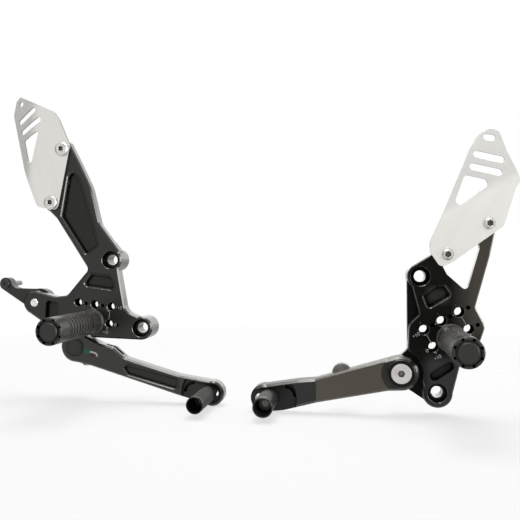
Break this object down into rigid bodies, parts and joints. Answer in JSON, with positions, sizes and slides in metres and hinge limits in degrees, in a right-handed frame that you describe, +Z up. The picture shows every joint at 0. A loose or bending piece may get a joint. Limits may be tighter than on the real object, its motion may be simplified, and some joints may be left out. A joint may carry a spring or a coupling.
{
  "type": "motorbike rear sets, brake and shift side",
  "caption": "Pair of black milled motorbike rear sets: hangers with a grid of peg positions, knurled foot pegs, toe levers on pivots and bare metal heel guards.",
  "frame": {"origin": "axis of the brake side's upper frame bolt hole, on the face that seats on the motorbike's frame", "axes": "-Y out of the hangers towards the foot, +Z up, +X from the brake side to the shift side"},
  "size_m": [0.4418, 0.134, 0.2674],
  "materials": {
    "black_anodised": "black anodised, satin",
    "grey_anodised": "dark anodised, satin",
    "guard_aluminium": "bare, satin",
    "knurled_aluminium": "dark anodised, knurled",
    "bright_steel": "bright",
    "black_steel": "black oxide",
    "bronze": "plain bush"
  },
  "bodies": {
    "hangers": {"brake_hanger": "black_anodised", "shift_hanger": "black_anodised", "rear_stay": "black_anodised", "brake_pivot_cap": "black_anodised", "shift_pivot_ring": "black_anodised", "brake_pivot_bolt": "black_anodised", "brake_heel_guard": "guard_aluminium", "shift_heel_guard": "guard_aluminium", "brake_foot_peg": "knurled_aluminium", "shift_foot_peg": "knurled_aluminium", "brake_peg_cap": "knurled_aluminium", "shift_peg_cap": "knurled_aluminium", "brake_guard_screws": "bright_steel", "shift_guard_screws": "bright_steel", "shift_guard_washers": "bright_steel", "shift_pivot_bolt": "bright_steel", "stay_pin": "bright_steel", "stay_post": "bright_steel", "brake_peg_dowel": "bright_steel", "shift_peg_dowel": "bright_steel", "shift_pivot_sleeve": "bright_steel", "stay_screw": "black_steel", "brake_peg_bolt": "black_steel", "shift_peg_bolt": "black_steel", "brake_pivot_nut": "black_steel", "shift_pivot_nut": "black_steel"},
    "brake_lever": {"brake_lever": "black_anodised", "brake_pivot_bush": "bronze", "brake_rod_pin": "bright_steel", "brake_toe_peg": "black_anodised", "brake_toe_bolt": "black_steel", "brake_toe_nut": "black_steel"},
    "shift_lever": {"shift_lever": "grey_anodised", "shift_pivot_bush": "bronze", "shift_rod_boss": "grey_anodised", "shift_rod_stud": "bright_steel", "shift_toe_peg": "black_anodised", "shift_toe_bolt": "black_steel", "shift_toe_nut": "black_steel"}
  },
  "joints": [
    {"name": "brake_pivot", "type": "hinge", "parent": "hangers", "child": "brake_lever", "pos_m": [-0.031, -0.016, -0.0755], "axis": [0, 1, 0], "range_deg": [0, 12], "stiffness_Nm_per_rad": 5, "springref_deg": -2.29},
    {"name": "shift_pivot", "type": "hinge", "parent": "hangers", "child": "shift_lever", "pos_m": [0.245, -0.033, -0.0884], "axis": [0, 1, 0], "range_deg": [-10, 10], "stiffness_Nm_per_rad": 4}
  ]
}
